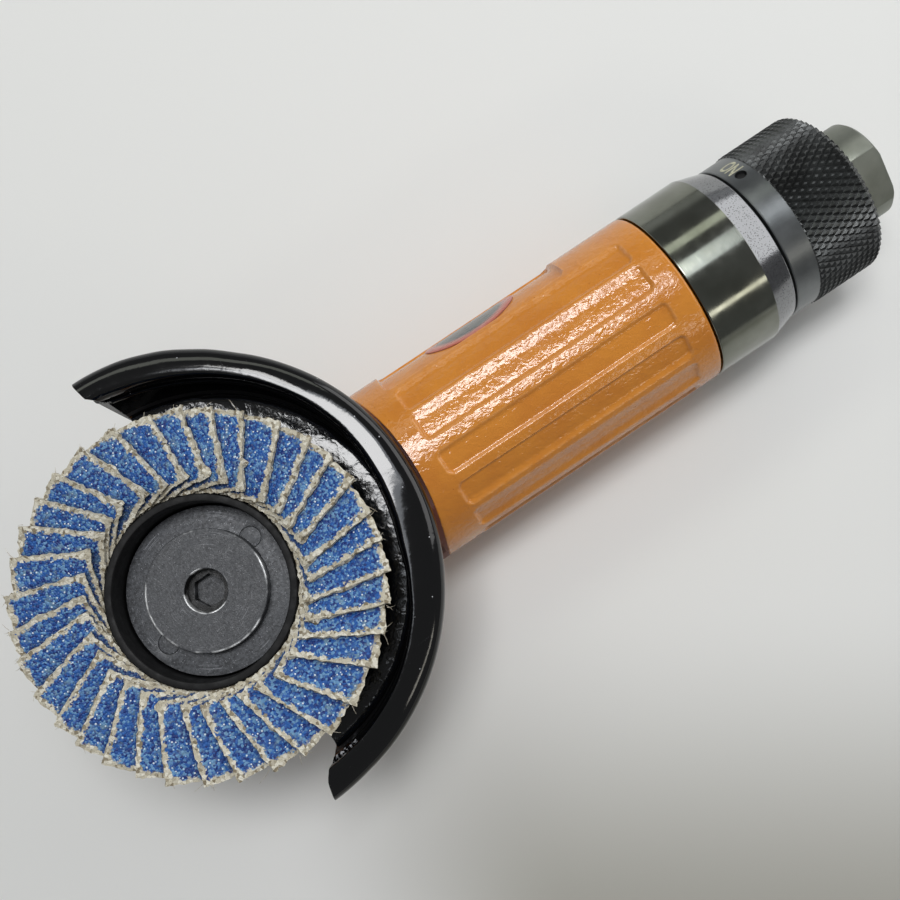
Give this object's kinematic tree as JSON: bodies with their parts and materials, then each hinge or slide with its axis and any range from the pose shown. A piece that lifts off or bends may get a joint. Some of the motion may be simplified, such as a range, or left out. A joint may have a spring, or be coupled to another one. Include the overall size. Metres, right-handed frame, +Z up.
{
  "type": "pneumatic angle grinder",
  "caption": "Roll-throttle air grinder with a right-angle head, half guard and a clamped flap disc for grinding and blending metal.",
  "frame": {"origin": "on the spindle axis, at the flat back face of the angle head that rests on the bench", "axes": "+Z up the spindle axis towards the disc, +X along the barrel towards the air inlet, +Y to the badge side"},
  "size_m": [0.2082, 0.0972, 0.0529],
  "materials": {
    "orange_paint": "glossy orange paint with a fine orange-peel texture",
    "black_paint": "high gloss black paint",
    "black_steel": "turned steel with a satin black oxide",
    "speckled_black": "sandblasted and blackened steel",
    "black_plastic": "moulded glass-filled nylon",
    "abrasive_cloth": "blue abrasive grain on frayed beige cloth",
    "bare_steel": "ground bare steel",
    "aluminium": "machined",
    "brass": "machined",
    "rubber": "nitrile rubber",
    "vane_composite": "phenolic cloth laminate",
    "badge_enamel": "domed resin badge, blank"
  },
  "bodies": {
    "tool_body": {"angle_head": "orange_paint", "motor_housing": "orange_paint", "badge": "badge_enamel", "rear_collar": "black_steel", "collar_o_ring": "rubber", "inlet_bushing": "black_steel", "inlet_screen": "brass", "valve_seat": "brass", "valve_key_pin": "bare_steel", "throttle_spring": "bare_steel", "sleeve_o_ring_front": "rubber", "sleeve_o_ring_rear": "rubber", "snap_ring": "bare_steel", "front_end_plate": "aluminium", "front_rotor_bearing": "bare_steel", "cylinder_liner": "bare_steel", "liner_dowel": "bare_steel", "rear_end_plate": "aluminium", "rear_rotor_bearing": "bare_steel", "wave_washer": "bare_steel", "pinion_bearing_front": "bare_steel", "pinion_bearing_rear": "bare_steel", "pinion_spacer": "bare_steel", "pinion_lock_ring": "bare_steel", "spindle_lower_bearing": "bare_steel", "spindle_upper_bearing": "bare_steel", "bearing_retainer_nut": "bare_steel", "spindle_seal": "rubber"},
    "disc_drive": {"spindle": "bare_steel", "bevel_gear": "bare_steel", "inner_flange": "bare_steel", "disc_backing_plate": "black_plastic", "flap_ring": "abrasive_cloth", "outer_flange": "speckled_black", "clamp_screw": "speckled_black"},
    "motor_rotor": {"rotor": "bare_steel", "vane_1": "vane_composite", "vane_2": "vane_composite", "vane_3": "vane_composite", "vane_4": "vane_composite", "bevel_pinion": "bare_steel"},
    "throttle": {"throttle_sleeve": "black_steel", "drive_pin": "bare_steel"},
    "valve": {"throttle_valve": "bare_steel", "valve_o_ring": "rubber"},
    "guard_set": {"guard": "black_paint", "guard_collar": "black_paint", "guard_clamp_screw": "bare_steel", "guard_clamp_nut": "bare_steel"}
  },
  "joints": [
    {"name": "spindle_spin", "type": "hinge", "parent": "tool_body", "child": "disc_drive", "pos_m": [0, 0, 0.021], "axis": [0, 0, 1], "continuous": true},
    {"name": "rotor_spin", "type": "hinge", "parent": "tool_body", "child": "motor_rotor", "pos_m": [0.05, 0, 0.021], "axis": [1, 0, 0], "continuous": true},
    {"name": "throttle_twist", "type": "hinge", "parent": "tool_body", "child": "throttle", "pos_m": [0.15, 0, 0.021], "axis": [1, 0, 0], "range_deg": [0, 60]},
    {"name": "valve_slide", "type": "slide", "parent": "tool_body", "child": "valve", "axis": [1, 0, 0], "range_m": [0, 0.0025], "deforming": ["throttle_spring"]},
    {"name": "guard_swivel", "type": "hinge", "parent": "tool_body", "child": "guard_set", "pos_m": [0, 0, 0.033], "axis": [0, 0, 1], "range_deg": [-45, 45]}
  ],
  "couplings": [
    {"joint": "rotor_spin", "follows": "spindle_spin", "ratio": 2.2},
    {"joint": "valve_slide", "follows": "throttle_twist", "m_per_rad": 0.0023873}
  ]
}
